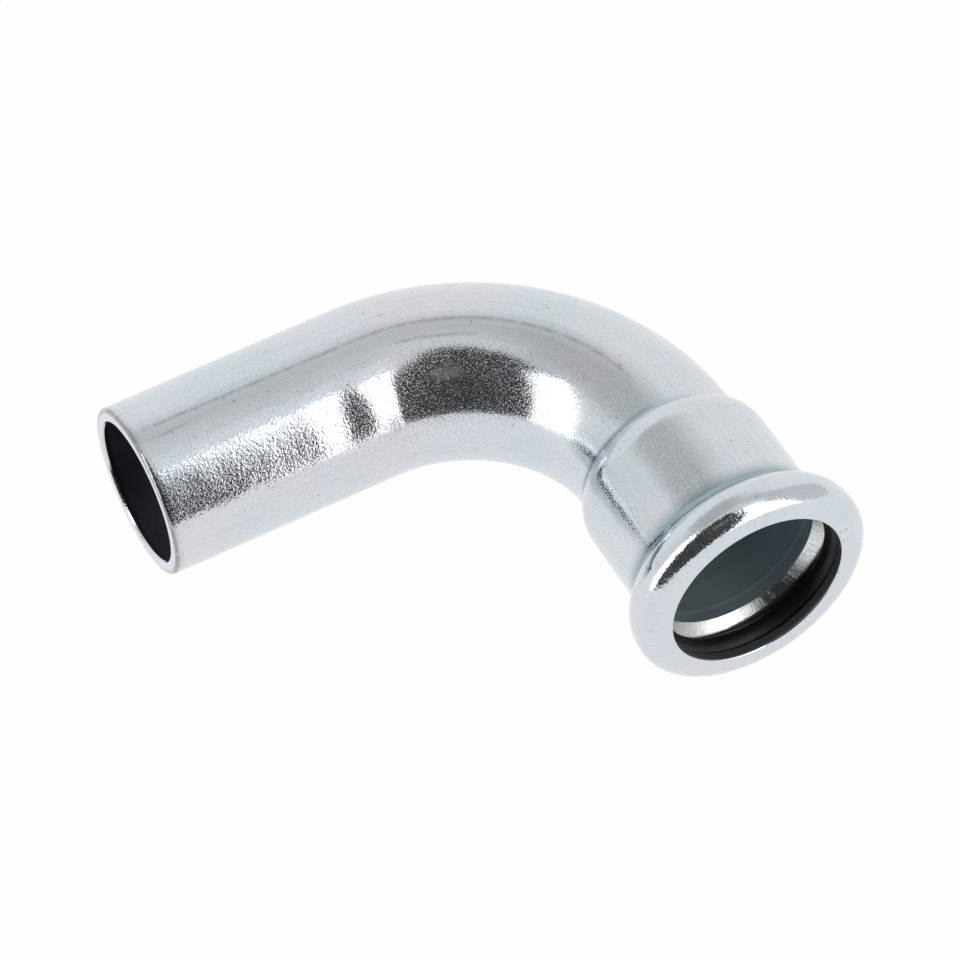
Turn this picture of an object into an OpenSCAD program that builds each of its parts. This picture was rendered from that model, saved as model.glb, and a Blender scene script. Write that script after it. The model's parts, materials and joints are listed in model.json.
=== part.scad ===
// Press elbow, 90 degrees, plain spigot to press socket, in zinc-plated steel tube.
// Lengths are in millimetres. The origin is the centre of the spigot's end face, +X runs into
// the fitting along the spigot, and the table that the elbow lies on is level, below the spigot.

/* [Tube] */
// Outside diameter of the tube, which is also the pipe size that the socket takes
tube_d = 22; // [18:0.5:28]
// Wall thickness of the tube
wall = 1.5; // [1.2:0.1:1.8]
// Radius of the bend, measured to the tube's centre line
bend_r = 27; // [25:0.5:40]

/* [Spigot] */
// Straight length of the spigot, from its end face to the bend
spigot_len = 31; // [22:0.5:60]
// Rounding of the spigot's outer edge
end_round = 0.45; // [0.2:0.05:0.7]
// How far the cut edge is rolled in at the end face
burr_h = 0.25; // [0.1:0.05:0.4]
// Length over which the rolled edge runs out into the tube's inside
burr_len = 1; // [0.6:0.1:2]

/* [Press socket] */
// Straight tube left between the bend and the shoulder's crease
shoulder_gap = 0.8; // [0.5:0.1:6]
// Outer rounding of the shoulder, where the tube widens into the socket
shoulder_round = 5.5; // [3.5:0.25:7]
// Hollow rounding in the crease where the shoulder leaves the tube
crease_round = 0.5; // [0.3:0.1:0.8]
// Radial clearance between the pipe and the socket's bore
pipe_clear = 0.2; // [0.05:0.05:0.3]
// How much the cut edge of a pipe is broken, where it meets the pipe stop
pipe_edge = 0.25; // [0.1:0.05:0.5]
// How far the pipe goes in, from the socket's mouth to the pipe stop
insert_depth = 21; // [17:0.5:35]

/* [Bead and seal] */
// Section diameter of the seal ring
seal_d = 3; // [2.4:0.1:3.6]
// Radial clearance between the pipe and the seal ring before pressing
seal_clear = 0.05; // [0.05:0.01:0.4]
// Clearance between the seal ring and the top and front of its groove
groove_clear = 0.05; // [0.03:0.01:0.1]
// How much larger the radius of the groove's back is than the seal ring's
groove_side = 0.6; // [0.3:0.1:0.8]
// Thickness of the bead's front wall, thinned by the forming
front_wall = 1.3; // [1:0.1:1.6]
// Outer rounding of the bead's front corner
front_round = 2.3; // [1.9:0.1:2.6]
// Hollow rounding where the bead rises from the socket's outside
neck_round = 2; // [0.8:0.1:2.4]
// Slope of the cone between the bore and the groove, measured from the bore
edge_angle = 45; // [35:1:50]
// Radial clearance between the pipe and the lip of the mouth
lip_clear = 0.6; // [0.5:0.05:0.8]
// Rounding of the lip's front edge
lip_round = 0.2; // [0.1:0.05:0.5]

/* [Hidden] */
$fn = 96;

// Arcs that touch overlap by this much, so that they join without a gap
join = 0.0005;

zinc = [0.80, 0.83, 0.85];
rubber = [0.08, 0.08, 0.09];

// Radii about the tube's and the socket's axis
tube_r = tube_d / 2;
water_r = tube_r - wall;
bore_r = tube_r + pipe_clear;
socket_r = bore_r + wall;
lip_r = tube_r + lip_clear;

// The groove is round at the back and clears the seal ring at the top, and the bead's wall lies
// round the groove, so that groove and bead have one centre
seal_r = seal_d / 2;
seal_x = tube_r + seal_clear + seal_r;
groove_r = seal_r + groove_side;
bead_r = groove_r + wall;
bead_x = seal_x + seal_r + groove_clear - groove_r;

// Distances along the socket's axis, from the point where both axes cross
crease_y = bend_r + shoulder_gap;
arc_x = socket_r - shoulder_round;
arc_y = crease_y + leg(shoulder_round, tube_r - arc_x);
stop_y = arc_y - leg(shoulder_round - wall, tube_r - pipe_edge - arc_x);
mouth_y = stop_y + insert_depth;
seal_y = mouth_y - front_wall - groove_clear - seal_r;
bead = [bead_x, seal_y];
neck_y = seal_y - leg(bead_r + neck_round, socket_r + neck_round - bead_x);
edge_y = neck_y + (neck_round + wall) * tan(edge_angle / 2);

// The elbow lies on the spigot and on the bead, so it is rolled about the spigot's axis
// until the bead's lowest point is level with the spigot's lowest line
rest_roll = atan2(bead_x, seal_y) - asin((tube_r - bead_r) / norm(bead));
crossing_x = spigot_len + bend_r;

// Other leg of a right triangle with this longest side
function leg(longest, one) = sqrt(longest * longest - one * one);

// Hollow fillet of radius f between the line x = line_x and the circle of radius r at c above it,
// as the area that it adds to a profile
module hollow_fillet(line_x, c, r, f) {
  centre = [line_x + f, c[1] - leg(r + f - join, line_x + f - c[0])];
  touch = c + (centre - c) * r / (r + f);
  difference() {
    polygon([[line_x, centre[1]], centre, touch, [touch[0], c[1]], [line_x, c[1]]]);
    translate(centre) circle(f);
  }
}

// The part of an arc of radius r, about the shoulder's centre, that lies past the crease
module shoulder_arc(r) {
  intersection() {
    translate([arc_x, arc_y]) circle(r);
    translate([0, crease_y]) square([socket_r, shoulder_round]);
  }
}

// The bead's form at a radius r about its centre: round at the back, and square at the front with
// a rounded corner
module bead_form(r, front_y, corner) {
  top = bead_x + r;
  flat = front_y - corner - seal_y;
  intersection() {
    translate(bead) circle(r + join);
    translate([0, seal_y - 2 * r]) square([2 * top, 2 * r + flat / 2]);
  }
  translate([0, seal_y]) square([top, flat]);
  translate([0, seal_y]) square([top - corner, front_y - seal_y]);
  translate([top - corner, front_y - corner]) circle(corner + join);
}

// The cone that ends the bore: it lies one wall away from the neck's rounding and runs into the groove
module bore_edge() {
  start = [bore_r, edge_y];
  slope = [sin(edge_angle), cos(edge_angle)];
  foot = start + slope * ((bead - start) * slope);
  polygon([start, foot, bead, [bore_r, seal_y]]);
}

// What is cut off the lip to round its front edge
module lip_edge() {
  difference() {
    translate([lip_r - lip_round, mouth_y - lip_round]) square(2 * lip_round);
    translate([lip_r + lip_round, mouth_y - lip_round]) circle(lip_round + join);
  }
}

// Half section of the spigot's wall, end face at the bottom
module spigot_section() {
  translate([water_r, 0]) square([wall - end_round, spigot_len]);
  translate([water_r, end_round]) square([wall, spigot_len - end_round]);
  translate([tube_r - end_round, end_round]) circle(end_round);
  polygon([[water_r, 0], [water_r, burr_len], [water_r - burr_h, burr_h], [water_r - burr_h / 2, 0]]);
}

// Half section of the socket's outer form, from the bend to the bead, before it is hollowed
module socket_outside() {
  translate([0, bend_r]) square([tube_r, seal_y - bend_r]);
  shoulder_arc(shoulder_round);
  hollow_fillet(tube_r, [arc_x, arc_y], shoulder_round, crease_round);
  translate([0, arc_y]) square([socket_r, seal_y - arc_y]);
  hollow_fillet(socket_r, bead, bead_r, neck_round);
  bead_form(bead_r, mouth_y, front_round);
}

// Half section of everything hollow in the socket: waterway, pipe stop, bore, groove and mouth
module socket_inside() {
  inner_round = shoulder_round - wall;
  translate([0, bend_r]) square([water_r, mouth_y - bend_r]);
  shoulder_arc(inner_round);
  hollow_fillet(water_r, [arc_x, arc_y], inner_round, crease_round + wall);
  translate([0, arc_y]) square([bore_r, mouth_y - arc_y]);
  bore_edge();
  bead_form(groove_r, mouth_y - front_wall, front_round - wall);
  translate([0, seal_y]) square([lip_r, mouth_y - seal_y + lip_round]);
  lip_edge();
}

module spigot() {
  rotate([0, 90, 0]) rotate_extrude() spigot_section();
}

module bend() {
  translate([spigot_len, -bend_r, 0])
    rotate_extrude(angle = 90)
      translate([bend_r, 0])
        difference() {
          circle(tube_r);
          circle(water_r);
        }
}

module on_socket_axis() {
  translate([crossing_x, 0, 0]) rotate([90, 0, 0]) children();
}

module press_socket() {
  on_socket_axis()
    rotate_extrude()
      difference() {
        socket_outside();
        socket_inside();
      }
}

// One formed tube: spigot, bend and press socket
module elbow_body() {
  color(zinc)
    rotate([-rest_roll, 0, 0])
      union() {
        spigot();
        bend();
        press_socket();
      }
}

// Rubber O-ring in the bead's groove
module seal_ring() {
  color(rubber)
    rotate([-rest_roll, 0, 0])
      on_socket_axis()
        rotate_extrude()
          translate([seal_x, seal_y])
            circle(seal_r);
}

elbow_body();
seal_ring();
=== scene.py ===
import json
import math

import bpy
import numpy as np
from mathutils import Matrix, Vector


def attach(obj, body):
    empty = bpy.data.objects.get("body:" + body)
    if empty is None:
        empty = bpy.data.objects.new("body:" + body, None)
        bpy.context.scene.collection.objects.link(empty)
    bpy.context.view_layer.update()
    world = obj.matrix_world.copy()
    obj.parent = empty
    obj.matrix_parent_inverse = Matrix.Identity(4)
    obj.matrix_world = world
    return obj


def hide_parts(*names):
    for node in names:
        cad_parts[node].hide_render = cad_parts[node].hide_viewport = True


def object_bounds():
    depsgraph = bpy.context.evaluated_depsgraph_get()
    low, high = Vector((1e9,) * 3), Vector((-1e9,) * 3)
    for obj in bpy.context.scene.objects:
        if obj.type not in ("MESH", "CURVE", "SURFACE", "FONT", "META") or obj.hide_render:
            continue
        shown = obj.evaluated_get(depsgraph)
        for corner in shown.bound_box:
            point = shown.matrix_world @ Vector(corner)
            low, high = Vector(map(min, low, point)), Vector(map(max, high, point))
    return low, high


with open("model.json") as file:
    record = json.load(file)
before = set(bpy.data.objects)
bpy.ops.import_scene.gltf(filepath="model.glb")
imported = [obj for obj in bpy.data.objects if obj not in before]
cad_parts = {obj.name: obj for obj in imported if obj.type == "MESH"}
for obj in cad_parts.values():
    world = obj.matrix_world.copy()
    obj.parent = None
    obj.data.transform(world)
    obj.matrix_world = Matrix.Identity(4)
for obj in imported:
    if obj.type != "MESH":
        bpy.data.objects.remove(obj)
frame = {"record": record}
cad_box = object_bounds()

# Elbow body: one length of 22 mm steel tube, bent on a mandrel and then formed at one end into a
# shoulder, a socket and a rolled bead. It is zinc plated as a whole, inside and out.
MM = 0.001
mounts = {mount["name"]: mount for mount in frame["record"]["mounts"]}
tube_r = mounts["spigot"]["dims"]["r_mm"]
bore_r = mounts["press_socket"]["dims"]["r_mm"]
socket_axis = mounts["press_socket"]["axis"]
crossing_x = mounts["press_socket"]["pos_m"][0] / MM
rest_roll = math.atan2(socket_axis[2], -socket_axis[1])

wall = 1.5
bend_r = 27.0
end_round = 0.45
burr_h = 0.25
burr_len = 1.0
shoulder_gap = 0.8
shoulder_round = 5.5
crease_round = 0.5
pipe_edge = 0.25
insert_depth = 21.0
seal_r = 1.5
seal_clear = 0.05
groove_clear = 0.05
groove_side = 0.6
front_wall = 1.3
front_round = 2.3
neck_round = 2.0
edge_angle = math.radians(45)
lip_clear = 0.6
lip_round = 0.2

water_r = tube_r - wall
socket_r = bore_r + wall
lip_r = tube_r + lip_clear
seal_x = tube_r + seal_clear + seal_r
groove_r = seal_r + groove_side
groove_top = seal_x + seal_r + groove_clear
bead_x = groove_top - groove_r
bead_r = groove_r + wall
bead_top = bead_x + bead_r
corner_round = front_round - wall
spigot_len = crossing_x - bend_r
bend_len = bend_r * math.pi / 2
crease_y = bend_r + shoulder_gap
shoulder_x = socket_r - shoulder_round
shoulder_y = crease_y + math.sqrt(shoulder_round**2 - (tube_r - shoulder_x)**2)
stop_y = shoulder_y - math.sqrt((shoulder_round - wall)**2 - (tube_r - pipe_edge - shoulder_x)**2)
mouth_y = stop_y + insert_depth
seal_y = mouth_y - front_wall - groove_clear - seal_r


def stretch(start, end, steps):
    """Points on the straight line from start towards end, evenly spaced, without the end itself."""
    share = np.arange(steps)[:, None] / steps
    return np.asarray(start) * (1 - share) + np.asarray(end) * share


def arc(centre, radius, start, end, steps):
    """Points on a circle: the centre plus the radius times cosine and sine of angles that run evenly
    from the direction of start to that of end, the short way round, without the end itself."""
    first = math.atan2(start[1] - centre[1], start[0] - centre[0])
    last = math.atan2(end[1] - centre[1], end[0] - centre[0])
    turn = (last - first + math.pi) % (2 * math.pi) - math.pi
    angle = first + turn * np.arange(steps) / steps
    return np.asarray(centre) + radius * np.column_stack([np.cos(angle), np.sin(angle)])


def fillet_centre(line_r, circle, radius, fillet):
    """Centre of a fillet between the line at line_r and a circle: a fillet's radius above the line, and
    both radii away from the circle's centre, on its near side."""
    rise = line_r + fillet - circle[1]
    return circle[0] - math.sqrt((radius + fillet)**2 - rise**2), line_r + fillet


def toward(start, end, distance):
    """The point that lies the given distance from start, in the direction of end."""
    start, end = np.asarray(start), np.asarray(end)
    return start + (end - start) * distance / np.linalg.norm(end - start)


def body_section():
    """The wall's closed outline in named stretches of points (distance along the centre line, distance
    from it): along the outside from the spigot's end face to the mouth, and back along the inside."""
    bend_end = spigot_len + bend_len
    shift = bend_end - bend_r
    shoulder = (shift + shoulder_y, shoulder_x)
    bead = (shift + seal_y, bead_x)
    front = shift + mouth_y
    back = front - front_wall
    rim = (end_round, tube_r - end_round)
    crease = fillet_centre(tube_r, shoulder, shoulder_round, crease_round)
    neck = fillet_centre(socket_r, bead, bead_r, neck_round)
    corner = (front - front_round, bead_top - front_round)
    inner_corner = (back - corner_round, groove_top - corner_round)
    lip = (front - lip_round, lip_r + lip_round)
    crease_touch = toward(shoulder, crease, shoulder_round)
    neck_touch = toward(bead, neck, bead_r)
    groove_front = (back, inner_corner[1])
    groove_roof = (inner_corner[0], groove_top)
    edge_start = np.array([neck[0] + (neck_round + wall) * math.tan(edge_angle / 2), bore_r])
    slope = np.array([math.cos(edge_angle), math.sin(edge_angle)])
    foot = edge_start + slope * ((bead - edge_start) @ slope)
    edge_touch = foot - slope * math.sqrt(groove_r**2 - np.sum((bead - foot)**2))
    inner_touch = toward(shoulder, crease, shoulder_round - wall)
    return [
        ("face", stretch((0, water_r - burr_h / 2), (0, rim[1]), 6)),
        ("rim", arc(rim, end_round, (0, rim[1]), (rim[0], tube_r), 6)),
        ("tube", stretch((rim[0], tube_r), (spigot_len, tube_r), 44)),
        ("tube", stretch((spigot_len, tube_r), (bend_end, tube_r), 60)),
        ("tube", stretch((bend_end, tube_r), (crease[0], tube_r), 2)),
        ("crease", arc(crease, crease_round, (crease[0], tube_r), crease_touch, 6)),
        ("socket", arc(shoulder, shoulder_round, crease_touch, (shoulder[0], socket_r), 18)),
        ("socket", stretch((shoulder[0], socket_r), (neck[0], socket_r), 14)),
        ("neck", arc(neck, neck_round, (neck[0], socket_r), neck_touch, 12)),
        ("bead", arc(bead, bead_r, neck_touch, (bead[0], bead_top), 20)),
        ("bead", stretch((bead[0], bead_top), (corner[0], bead_top), 2)),
        ("bead", arc(corner, front_round, (corner[0], bead_top), (front, corner[1]), 20)),
        ("bead", stretch((front, corner[1]), (front, lip[1]), 5)),
        ("bead", arc(lip, lip_round, (front, lip[1]), (lip[0], lip_r), 4)),
        ("lip", stretch((lip[0], lip_r), (back, lip_r), 4)),
        ("groove", stretch((back, lip_r), groove_front, 3)),
        ("groove", arc(inner_corner, corner_round, groove_front, groove_roof, 5)),
        ("groove", stretch(groove_roof, (bead[0], groove_top), 2)),
        ("groove", arc(bead, groove_r, (bead[0], groove_top), edge_touch, 8)),
        ("edge", stretch(edge_touch, edge_start, 16)),
        ("bore", stretch(edge_start, (shoulder[0], bore_r), 14)),
        ("bore", arc(shoulder, shoulder_round - wall, (shoulder[0], bore_r), inner_touch, 8)),
        ("waterway", arc(crease, crease_round + wall, inner_touch, (crease[0], water_r), 8)),
        ("waterway", stretch((crease[0], water_r), (bend_end, water_r), 2)),
        ("waterway", stretch((bend_end, water_r), (spigot_len, water_r), 34)),
        ("waterway", stretch((spigot_len, water_r), (burr_len, water_r), 10)),
        ("waterway", stretch((burr_len, water_r), (burr_h, water_r - burr_h), 3)),
        ("face", stretch((burr_h, water_r - burr_h), (0, water_r - burr_h / 2), 3))]


ripple_height = 0.11
ripple_length = 9
ripple_crest = 29.0
dip_depth = 0.12
dip_len = 14
inner_top = 133


def hump(value, middle, reach):
    """1 at the middle, 0 from the reach on to either side of it, and a squared cosine between them."""
    return np.cos(np.clip((value - middle) / reach, -1, 1) * math.pi / 2)**2


def bending_ripple(distance, angle):
    """How far the tube's wall stands out where the bend starts: a cosine wave along the tube, times a
    soft hump over 20 mm of its length, times a soft hump over 96 degrees of its inner top."""
    wave = ripple_height * np.cos(2 * math.pi * (distance - ripple_crest) / ripple_length)
    return wave * hump(distance, 26.5, 10) * hump(np.degrees(angle), inner_top, 48)


def cutting_dip(distance, angle):
    """How far the cutter pressed the wall in at the spigot's end: the dip's depth, times the square of
    the share of its length that is left, times a soft hump over 120 degrees of the inner top."""
    left = np.clip(dip_len - distance, 0, dip_len) / dip_len
    return dip_depth * left**2 * hump(np.degrees(angle), inner_top, 60)


def along_elbow(distance, radius, angle):
    """Points at a distance along the elbow's centre line, a radius from it and an angle round it, where
    angle 0 is the bend's outer side: the centre line runs straight, then turns by distance over bend
    radius, and then runs straight again, and the radius turns with it. The result lies as on the table."""
    turn = np.clip((distance - spigot_len) / bend_r, 0, math.pi / 2)
    past = np.maximum(distance - spigot_len - bend_len, 0)
    out = radius * np.cos(angle)
    x = np.minimum(distance, spigot_len) + bend_r * np.sin(turn) + out * np.sin(turn)
    y = -bend_r * (1 - np.cos(turn)) - past + out * np.cos(turn)
    z = radius * np.sin(angle) * np.ones_like(x)
    y, z = (y * math.cos(rest_roll) + z * math.sin(rest_roll),
            z * math.cos(rest_roll) - y * math.sin(rest_roll))
    return np.stack([x, y, z], axis=-1)


def swept_mesh(name, points):
    """A closed skin over a grid of points that wraps round in both directions: each face joins a point
    to the next one on its ring and to the same two on the next ring."""
    rings, spokes = points.shape[:2]
    ring, spoke = np.meshgrid(np.arange(rings), np.arange(spokes), indexing="ij")
    next_ring = (ring + 1) % rings
    next_spoke = (spoke + 1) % spokes
    corners = np.stack([ring * spokes + spoke, ring * spokes + next_spoke,
                        next_ring * spokes + next_spoke, next_ring * spokes + spoke], axis=-1)
    mesh = bpy.data.meshes.new(name)
    mesh.from_pydata((points.reshape(-1, 3) * MM).tolist(), [], corners.reshape(-1, 4).tolist())
    mesh.shade_smooth()
    piece = bpy.data.objects.new(name, mesh)
    bpy.context.scene.collection.objects.link(piece)
    return piece


spokes = 256
stretches = body_section()
section = np.vstack([points for zone, points in stretches])
zones = np.concatenate([[zone] * len(points) for zone, points in stretches])
along = section[:, :1]
round_angle = np.arange(spokes)[None, :] * 2 * math.pi / spokes
outside = np.isin(zones, ("rim", "tube"))[:, None]
forming_marks = bending_ripple(along, round_angle) - cutting_dip(along, round_angle)
radius = section[:, 1:] + forming_marks * outside
body = swept_mesh("plated_elbow", along_elbow(along, radius, round_angle))
body.data.set_sharp_from_angle(angle=math.radians(40))

# The skin attribute holds the place round the tube, as cosine and sine, and along it in millimetres,
# and each mask marks the stretches of the wall that share a finish or a painted shade.
skin = np.stack(np.broadcast_arrays(np.cos(round_angle), np.sin(round_angle), along), axis=-1)
body.data.attributes.new("skin", "FLOAT_VECTOR", "POINT").data.foreach_set("vector", skin.ravel())
masks = {"dull": ("bore",), "dark": ("waterway",), "burnished": ("bead", "neck", "rim", "face"),
         "crevice": ("crease",), "hollow": ("neck",), "brushed": ("edge",),
         "shaded": ("lip", "groove"), "cut": ("rim",)}
for mask, names in masks.items():
    weight = np.repeat(np.convolve(np.isin(zones, names), (0.25, 0.5, 0.25), mode="same"), spokes)
    body.data.attributes.new(mask, "FLOAT", "POINT").data.foreach_set("value", weight)


def add_node(tree, kind, inputs, **settings):
    """Adds a shader node with its settings. Each input is linked if a socket is given, and set if not."""
    node = tree.nodes.new("ShaderNode" + kind)
    for key, value in settings.items():
        setattr(node, key, value)
    for key, value in inputs.items():
        if isinstance(value, bpy.types.NodeSocket):
            tree.links.new(value, node.inputs[key])
        else:
            node.inputs[key].default_value = value
    return node


def work_out(tree, operation, *values):
    """The result of one Math node on the values."""
    return add_node(tree, "Math", dict(enumerate(values)), operation=operation).outputs[0]


def product(tree, first, *others):
    """The first value times each of the others."""
    for other in others:
        first = work_out(tree, "MULTIPLY", first, other)
    return first


def apart(tree, value, middle):
    """How far the value is from the middle, on either side of it."""
    return work_out(tree, "ABSOLUTE", work_out(tree, "SUBTRACT", value, middle))


def fade(tree, value, start, end):
    """0 where the value is at start, 1 where it is at end, and a smooth change between them."""
    return add_node(tree, "MapRange", {"Value": value, "From Min": start, "From Max": end},
                    interpolation_type="SMOOTHSTEP").outputs[0]


def cloud(tree, vector, scale, detail, stretch_by=(1, 1, 1)):
    """Noise between 0 and 1 over the vector, which is first stretched along its axes."""
    stretched = add_node(tree, "Mapping", {"Vector": vector, "Scale": stretch_by}).outputs[0]
    return add_node(tree, "TexNoise", {"Vector": stretched, "Scale": scale, "Detail": detail}).outputs[0]


def blend(tree, share, first, second):
    """The first colour where the share is 0 and the second where it is 1."""
    return add_node(tree, "Mix", {0: share, 6: first, 7: second}, data_type="RGBA").outputs[2]


def relief(tree, height, depth, **more):
    """The normal of a surface that stands out by the height, from 0 to 1, times the depth in metres.
    More may be the relief's strength, and the normal of the surface that it lies on."""
    return add_node(tree, "Bump", {"Height": height, "Distance": depth, **more}).outputs[0]


grey_zinc = (0.64, 0.695, 0.73, 1)
blue_zinc = (0.675, 0.71, 0.755, 1)
cloudy_zinc = (0.70, 0.70, 0.735, 1)
streak_grey = (0.48, 0.46, 0.49, 1)
line_grey = (0.30, 0.32, 0.35, 1)
speck_grey = (0.30, 0.28, 0.28, 1)
# Painted shade: the two greenish greys below darken the crease and the neck
crease_shade_teal = (0.27, 0.36, 0.39, 1)
neck_shade_teal = (0.29, 0.38, 0.39, 1)
rust_brown = (0.13, 0.10, 0.08, 1)
thin_film = (0.58, 0.65, 0.70, 1)
thick_film = (0.72, 0.81, 0.83, 1)
# Painted highlight: a pale greenish ring in the bore
highlight_ring_white = (0.86, 0.98, 0.96, 1)
# Painted shade: the dark colour inside the waterway
waterway_shade = (0.16, 0.19, 0.23, 1)
lip_shade = (0.20, 0.21, 0.20, 1)
brushed_steel = (0.83, 0.85, 0.87, 1)
# Place along the tube of the painted highlight ring, in millimetres
highlight_ring_along = 89.4

zinc = bpy.data.materials.new("bright_zinc")
zinc.use_nodes = True
tree = zinc.node_tree
shader = tree.nodes["Principled BSDF"]
place = add_node(tree, "TexCoord", {}).outputs["Object"]
skin_place = add_node(tree, "Attribute", {}, attribute_name="skin").outputs["Vector"]
skin_axes = add_node(tree, "SeparateXYZ", {"Vector": skin_place}).outputs
weights = {mask: add_node(tree, "Attribute", {}, attribute_name=mask).outputs["Fac"] for mask in masks}
inward = work_out(tree, "MULTIPLY", skin_axes[0], -1.0)
off_top = work_out(tree, "DEGREES", work_out(tree, "ARCTAN2", inward, skin_axes[1]))


def draw_line(tree, start_angle, end_angle, start, end, width):
    """A line that the drawing die left along the tube, at an angle from its top that changes between two
    places along it: strong where a slow noise is high, and faded out beyond those places."""
    angle = add_node(tree, "MapRange", {"Value": skin_axes[2], "From Min": start, "From Max": end,
                                        "To Min": start_angle, "To Max": end_angle}).outputs[0]
    waver = cloud(tree, skin_place, 0.35, 2.0, (0.1, 0.1, 1))
    waver = work_out(tree, "MULTIPLY_ADD", waver, -1.2, 0.6)
    aside = apart(tree, work_out(tree, "SUBTRACT", off_top, angle), waver)
    line = fade(tree, aside, width, 0.0)
    present = fade(tree, cloud(tree, skin_place, 0.5, 3.0, (0.1, 0.1, 1)), 0.2, 0.65)
    begun = fade(tree, skin_axes[2], start - 2, start + 2)
    ended = fade(tree, skin_axes[2], end + 2, end - 2)
    return product(tree, line, present, begun, ended)


weld_line = draw_line(tree, 0.5, 4.5, 2.0, 68.0, 2.4)
short_line = draw_line(tree, 14.5, 15.5, 35.0, 46.0, 2.2)
end_line = draw_line(tree, 9.5, 9.0, 2.5, 6.5, 1.8)
lines = work_out(tree, "MAXIMUM", work_out(tree, "MAXIMUM", weld_line, short_line), end_line)

# Colours of the outside: tints of the plating, water stains, streaks and lines along the tube, specks,
# greenish painted shade in the crease and the neck, and rust on the cut rim
tint = fade(tree, cloud(tree, place, 70.0, 2.0), 0.3, 0.7)
colour = blend(tree, tint, grey_zinc, blue_zinc)
stain = fade(tree, cloud(tree, place, 45.0, 3.0), 0.52, 0.72)
colour = blend(tree, product(tree, stain, 0.7), colour, cloudy_zinc)
streaks = fade(tree, cloud(tree, skin_place, 1.0, 2.0, (22, 22, 0.08)), 0.5, 0.75)
colour = blend(tree, product(tree, streaks, 0.18), colour, streak_grey)
colour = blend(tree, product(tree, lines, 0.6), colour, line_grey)
specks = fade(tree, cloud(tree, place, 1300.0, 1.0), 0.72, 0.78)
colour = blend(tree, product(tree, specks, 0.5), colour, speck_grey)
inner_side = fade(tree, skin_axes[0], 0.5, -0.6)
# Painted shade: the crease on the bend's inner side and the whole neck are darkened to a greenish grey
colour = blend(tree, product(tree, weights["crevice"], inner_side), colour, crease_shade_teal)
colour = blend(tree, product(tree, weights["hollow"], 0.95), colour, neck_shade_teal)
rust = fade(tree, cloud(tree, place, 900.0, 3.0), 0.2, 0.5)
colour = blend(tree, product(tree, weights["cut"], rust, 0.6), colour, rust_brown)

# Colours of the inside: a cloudy film and a painted highlight ring in the bore, painted shade in the
# waterway, the shaded lip and groove, and the brushed cone that ends the bore
film = fade(tree, cloud(tree, skin_place, 1.1, 2.0, (1, 1, 0.1)), 0.35, 0.65)
colour = blend(tree, weights["dull"], colour, blend(tree, film, thin_film, thick_film))
# Painted highlight: a pale ring round the bore, stronger where the cloudy film is thicker
highlight_ring = fade(tree, apart(tree, skin_axes[2], highlight_ring_along), 0.5, 0.0)
highlight_ring = product(tree, highlight_ring, work_out(tree, "MULTIPLY_ADD", film, 0.6, 0.4))
colour = blend(tree, product(tree, highlight_ring, weights["dull"]), colour, highlight_ring_white)
# Painted shade: the waterway inside the tube is darkened in its colour
colour = blend(tree, weights["dark"], colour, waterway_shade)
colour = blend(tree, weights["shaded"], colour, lip_shade)
colour = blend(tree, weights["brushed"], colour, brushed_steel)
shader.inputs["Metallic"].default_value = 0.94
tree.links.new(colour, shader.inputs["Base Color"])

# Zinc crystals are matt between bright ones, less so where the forming tools or the brush rubbed them
crystals = fade(tree, cloud(tree, place, 6500.0, 0.0), 0.5, 0.72)
rubbed = work_out(tree, "MULTIPLY_ADD", weights["burnished"], -0.2, 0.43)
matt = work_out(tree, "SUBTRACT", rubbed, product(tree, weights["brushed"], 0.36))
roughness = work_out(tree, "MULTIPLY_ADD", crystals, matt, 0.08)
inner = work_out(tree, "ADD", work_out(tree, "ADD", weights["dull"], weights["dark"]), weights["shaded"])
roughness = work_out(tree, "MAXIMUM", roughness, product(tree, inner, 0.5))
tree.links.new(roughness, shader.inputs["Roughness"])

# Relief: the plating's grain, coarser on the straight spigot, slow waves of the tube, fine dents of the
# forming tools, and brush marks round the cone
polished = work_out(tree, "MAXIMUM", weights["burnished"], weights["brushed"])
smoothed = work_out(tree, "MULTIPLY_ADD", polished, -0.6, 1.0)
straight = fade(tree, skin_axes[2], 37.0, 27.0)
grain = cloud(tree, place, 4400.0, 1.0)
normal = relief(tree, grain, 1.25e-5, Strength=smoothed)
coarse = cloud(tree, place, 2400.0, 1.0)
normal = relief(tree, coarse, 2.0e-5, Strength=straight, Normal=normal)
waves = cloud(tree, place, 260.0, 1.0)
normal = relief(tree, waves, 4e-5, Normal=normal)
dents = cloud(tree, place, 1500.0, 2.0)
normal = relief(tree, dents, 3e-5, Strength=weights["burnished"], Normal=normal)
brush = cloud(tree, skin_place, 1.0, 2.0, (300, 300, 0.4))
normal = relief(tree, brush, 1.6e-5, Strength=weights["brushed"], Normal=normal)
tree.links.new(normal, shader.inputs["Normal"])
body.data.materials.append(zinc)
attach(body, "root")
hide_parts("elbow_body")

# Seal ring: a moulded rubber O-ring that lies loose in the bead's groove and just clears the pipe.
# It touches nothing until the joint is pressed, and stands a little proud of the bore.
ring_steps = 40
rubber_black = (0.008, 0.008, 0.009, 1)
turns = np.arange(ring_steps)[:, None] * 2 * math.pi / ring_steps
ring_along = spigot_len + bend_len - bend_r + seal_y + seal_r * np.cos(turns)
ring_radius = seal_x - seal_r * np.sin(turns)
ring = swept_mesh("o_ring", along_elbow(ring_along, ring_radius, round_angle))

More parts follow.
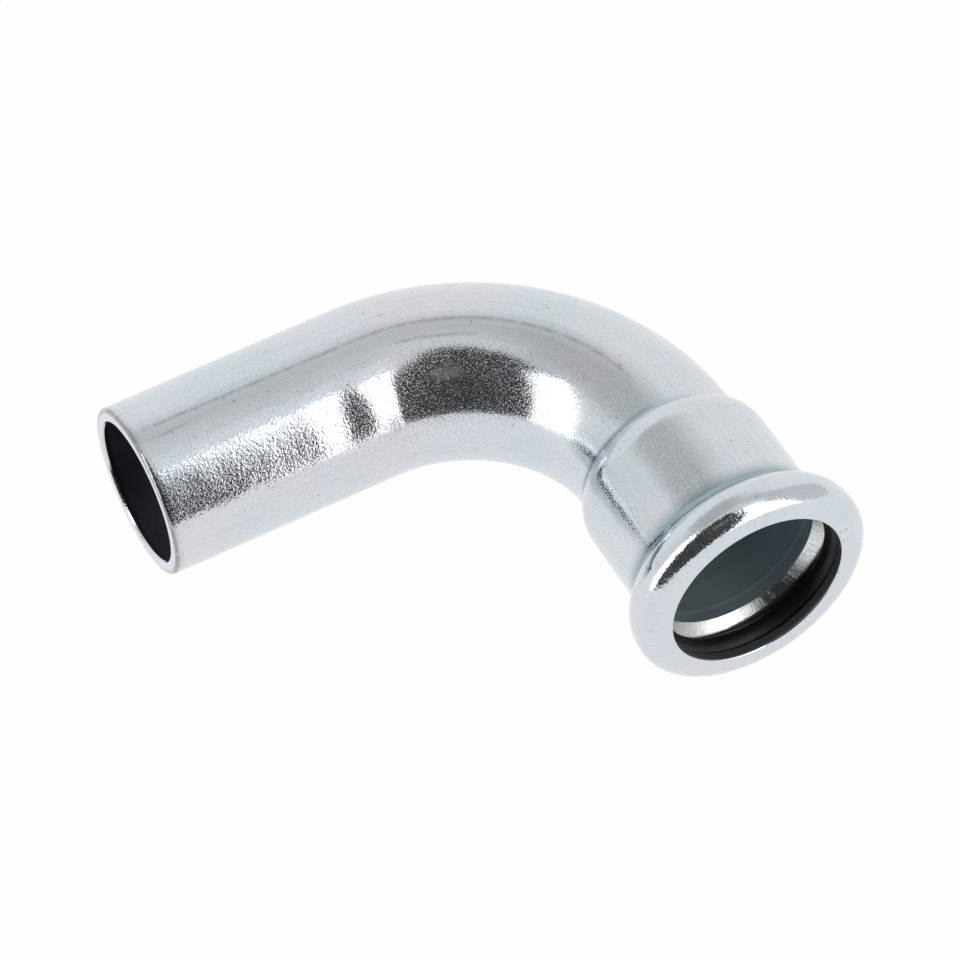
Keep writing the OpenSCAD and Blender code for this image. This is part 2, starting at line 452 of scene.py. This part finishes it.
rubber = bpy.data.materials.new("black_rubber")
rubber.use_nodes = True
tree = rubber.node_tree
shader = tree.nodes["Principled BSDF"]
shader.inputs["Base Color"].default_value = rubber_black
shader.inputs["Specular IOR Level"].default_value = 0.35
place = add_node(tree, "TexCoord", {}).outputs["Object"]
sheen = cloud(tree, place, 400.0, 3.0)
roughness = add_node(tree, "MapRange", {"Value": sheen, "To Min": 0.36, "To Max": 0.52}).outputs[0]
tree.links.new(roughness, shader.inputs["Roughness"])
mould_grain = cloud(tree, place, 3000.0, 2.0)
tree.links.new(relief(tree, mould_grain, 6e-6), shader.inputs["Normal"])
ring.data.materials.append(rubber)
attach(ring, "root")
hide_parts("seal_ring")

# Table: a white sheet under the elbow. Seen by the camera and in the metal it is white, and it keeps
# a faint shadow where the elbow stands.
floor_z = cad_box[0].z
half = 2.0
sheet_white = (0.9, 0.9, 0.9, 1)
floor_mesh = bpy.data.meshes.new("table")
floor_mesh.from_pydata([(-half, -half, floor_z), (half, -half, floor_z), (half, half, floor_z),
                        (-half, half, floor_z)], [], [(0, 1, 2, 3)])
floor = bpy.data.objects.new("table", floor_mesh)
bpy.context.scene.collection.objects.link(floor)
white = bpy.data.materials.new("white_table")
white.use_nodes = True
tree = white.node_tree
shader = tree.nodes["Principled BSDF"]
shader.inputs["Base Color"].default_value = sheet_white
shader.inputs["Roughness"].default_value = 0.9
path = add_node(tree, "LightPath", {}).outputs
seen = work_out(tree, "MAXIMUM", path["Is Camera Ray"], path["Is Glossy Ray"])
seen = work_out(tree, "MAXIMUM", seen, path["Is Transmission Ray"])
glow = add_node(tree, "Emission", {"Color": (1, 1, 1, 1), "Strength": 1.0}).outputs[0]
share = product(tree, seen, 0.97)
mixed = add_node(tree, "MixShader", {0: share, 1: shader.outputs[0], 2: glow}).outputs[0]
tree.links.new(mixed, tree.nodes["Material Output"].inputs["Surface"])
floor.data.materials.append(white)

# Room: white walls on the far side and a dim ceiling, with the unlit part of the room behind the
# camera, which shows in the metal as dark reflections. The camera itself sees white.
far_wall = (0.97, 0.97, 0.97, 1)
left_wall = (0.85, 0.85, 0.85, 1)
right_wall = (0.70, 0.70, 0.70, 1)
upper_wall = (0.66, 0.66, 0.66, 1)
ceiling = (0.83, 0.83, 0.83, 1)
corner_grey = (0.54, 0.54, 0.54, 1)
bounced_white = (1.0, 1.0, 1.0, 1)
unlit = (0.02, 0.02, 0.021, 1)
warm_spot = (0.17, 0.145, 0.115, 1)
spot_direction = (-0.196, -0.539, 0.819)

world = bpy.data.worlds.new("studio")
bpy.context.scene.world = world
world.use_nodes = True
tree = world.node_tree
ray = add_node(tree, "TexCoord", {}).outputs["Generated"]
ray_axes = add_node(tree, "SeparateXYZ", {"Vector": ray}).outputs
azimuth = work_out(tree, "DEGREES", work_out(tree, "ARCTAN2", ray_axes[0], ray_axes[1]))
height = work_out(tree, "DEGREES", work_out(tree, "ARCSINE", ray_axes[2]))


def wall_patch(tree, middle_azimuth, wide, middle_height, tall):
    """1 in a patch of the room and 0 outside it: a fade over the degrees to either side of its middle,
    times a fade over the degrees above and below it."""
    sideways = fade(tree, apart(tree, azimuth, middle_azimuth), *wide)
    upward = fade(tree, apart(tree, height, middle_height), *tall)
    return product(tree, sideways, upward)


walls = blend(tree, fade(tree, azimuth, -40.0, -50.0), far_wall, left_wall)
walls = blend(tree, fade(tree, azimuth, 58.0, 76.0), walls, right_wall)
walls = blend(tree, fade(tree, height, 34.0, 56.0), walls, upper_wall)
walls = blend(tree, fade(tree, height, 62.0, 80.0), walls, ceiling)
corner = wall_patch(tree, -22.0, (48.0, 20.0), 54.0, (26.0, 10.0))
walls = blend(tree, corner, walls, corner_grey)
bounced = wall_patch(tree, 130.0, (45.0, 22.0), 69.0, (14.0, 5.0))
walls = blend(tree, bounced, walls, bounced_white)
from_middle = work_out(tree, "WRAP", work_out(tree, "ADD", azimuth, 141.0), 180.0, -180.0)
from_middle = work_out(tree, "ABSOLUTE", from_middle)
dark = product(tree, fade(tree, from_middle, 57.5, 53.5), fade(tree, height, 88.0, 86.0))
room = blend(tree, dark, walls, unlit)
toward_spot = add_node(tree, "VectorMath", {0: ray, 1: spot_direction}, operation="DOT_PRODUCT")
room = blend(tree, fade(tree, toward_spot.outputs["Value"], 0.985, 0.997), room, warm_spot)
path = add_node(tree, "LightPath", {}).outputs
seen = blend(tree, path["Is Camera Ray"], room, (1, 1, 1, 1))
tree.links.new(seen, tree.nodes["Background"].inputs["Color"])


# Softboxes: two upright strips of even white light on the table, one on either side of the camera.
# They light the elbow softly and show as white strips in the spigot, the bend and the bead.
def softbox(name, left_foot, right_foot, height, lean, radiance):
    """An area lamp that stands on the table between two feet, left and right as the elbow sees them, and
    leans to its right by an angle. Its power is the radiance times pi times its area."""
    left_foot, right_foot = Vector((*left_foot, 0)) * MM, Vector((*right_foot, 0)) * MM
    width = (right_foot - left_foot).length
    along_foot = (right_foot - left_foot) / width
    facing = along_foot.cross(Vector((0, 0, 1)))
    upward = Vector((0, 0, 1)) * math.cos(lean) + along_foot * math.sin(lean)
    lamp = bpy.data.lights.new(name, "AREA")
    lamp.shape = "RECTANGLE"
    lamp.size = width
    lamp.size_y = height * MM
    lamp.energy = radiance * math.pi * width * height * MM
    box = bpy.data.objects.new(name, lamp)
    bpy.context.scene.collection.objects.link(box)
    middle = (left_foot + right_foot) / 2 + upward * height * MM / 2 + Vector((0, 0, floor_z))
    turned = Matrix((upward.cross(-facing), upward, -facing)).transposed()
    box.matrix_world = Matrix.Translation(middle) @ turned.to_4x4()


softbox("left_softbox", (-222, -91), (-222, 48), 400, math.radians(7), 1.9)
softbox("right_softbox", (234, -269), (89, -297), 760, math.radians(-6.8), 1.75)

# Camera: it stands where the photographer stood, above the table and to the spigot's side, with a
# long lens. Its angles are in degrees, and its aim and distance are in millimetres.
camera_azimuth = -28.855
camera_elevation = 56.014
camera_roll = 0.643
camera_aim = (36.34, -20.77, 4.475)
camera_distance = 722.5
camera_lens = 223.66
turn = math.radians(camera_azimuth)
tilt = math.radians(camera_elevation)
backward = Vector((math.sin(turn) * math.cos(tilt), -math.cos(turn) * math.cos(tilt), math.sin(tilt)))
camera_data = bpy.data.cameras.new("photo_camera")
camera_data.lens = camera_lens
camera_data.sensor_width = 36
camera_data.clip_end = 20
camera = bpy.data.objects.new("photo_camera", camera_data)
bpy.context.scene.collection.objects.link(camera)
camera.matrix_world = (Matrix.Translation((Vector(camera_aim) + backward * camera_distance) * MM)
                       @ backward.to_track_quat("Z", "Y").to_matrix().to_4x4()
                       @ Matrix.Rotation(math.radians(camera_roll), 4, "Z"))
bpy.context.scene.camera = camera
bpy.context.scene.view_settings.view_transform = "Standard"
